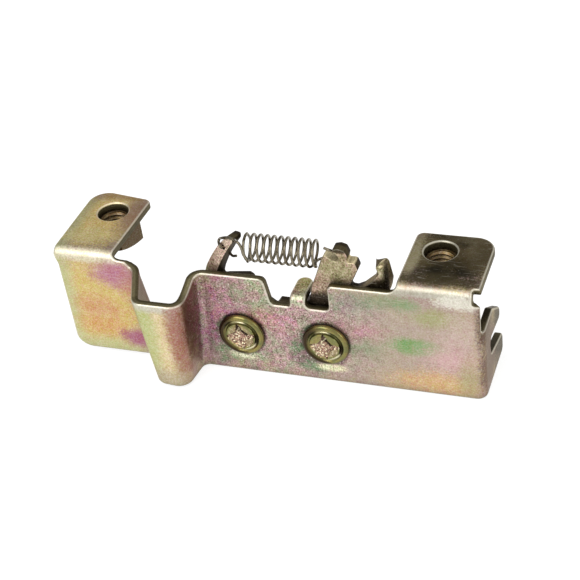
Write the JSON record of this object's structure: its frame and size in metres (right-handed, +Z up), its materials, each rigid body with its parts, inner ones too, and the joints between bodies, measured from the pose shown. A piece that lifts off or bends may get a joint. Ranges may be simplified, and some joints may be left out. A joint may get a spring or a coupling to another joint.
{
  "type": "seat lock",
  "caption": "Folded sheet bracket with fixing tabs, a tapered rib and a cable flange, carrying a sprung catch lever and a release lever on staked pivots.",
  "frame": {"origin": "midway between the two tab holes along X, on the bracket's front face, level with the top of the fixing tabs", "axes": "+X along the bracket towards the cable flange, +Y back from its front face, +Z up"},
  "size_m": [0.09, 0.0311, 0.0322],
  "materials": {
    "yellow_zinc": "steel sheet, zinc plated with an iridescent yellow chromate",
    "dark_zinc": "blanked steel, zinc plated with a dull olive chromate",
    "rivet_zinc": "turned steel, zinc plated with a green yellow chromate, staked head",
    "spring_steel": "bright drawn spring wire"
  },
  "bodies": {
    "bracket_body": {"bracket": "yellow_zinc", "catch_pivot_rivet": "rivet_zinc", "release_pivot_rivet": "rivet_zinc", "left_weld_nut": "dark_zinc", "right_weld_nut": "dark_zinc", "tension_spring": "spring_steel"},
    "catch_body": {"catch_lever": "dark_zinc"},
    "release_body": {"release_lever": "dark_zinc"}
  },
  "joints": [
    {"name": "catch_pivot", "type": "hinge", "parent": "bracket_body", "child": "catch_body", "pos_m": [-0.00312, 0.0032, -0.01613], "axis": [0, 1, 0], "range_deg": [0, 24], "deforming": ["tension_spring"]},
    {"name": "release_pivot", "type": "hinge", "parent": "bracket_body", "child": "release_body", "pos_m": [0.01481, 0.0032, -0.01613], "axis": [0, 1, 0], "range_deg": [0, 5], "stiffness_Nm_per_rad": 0.05, "springref_deg": -22.92, "deforming": ["tension_spring"]}
  ]
}
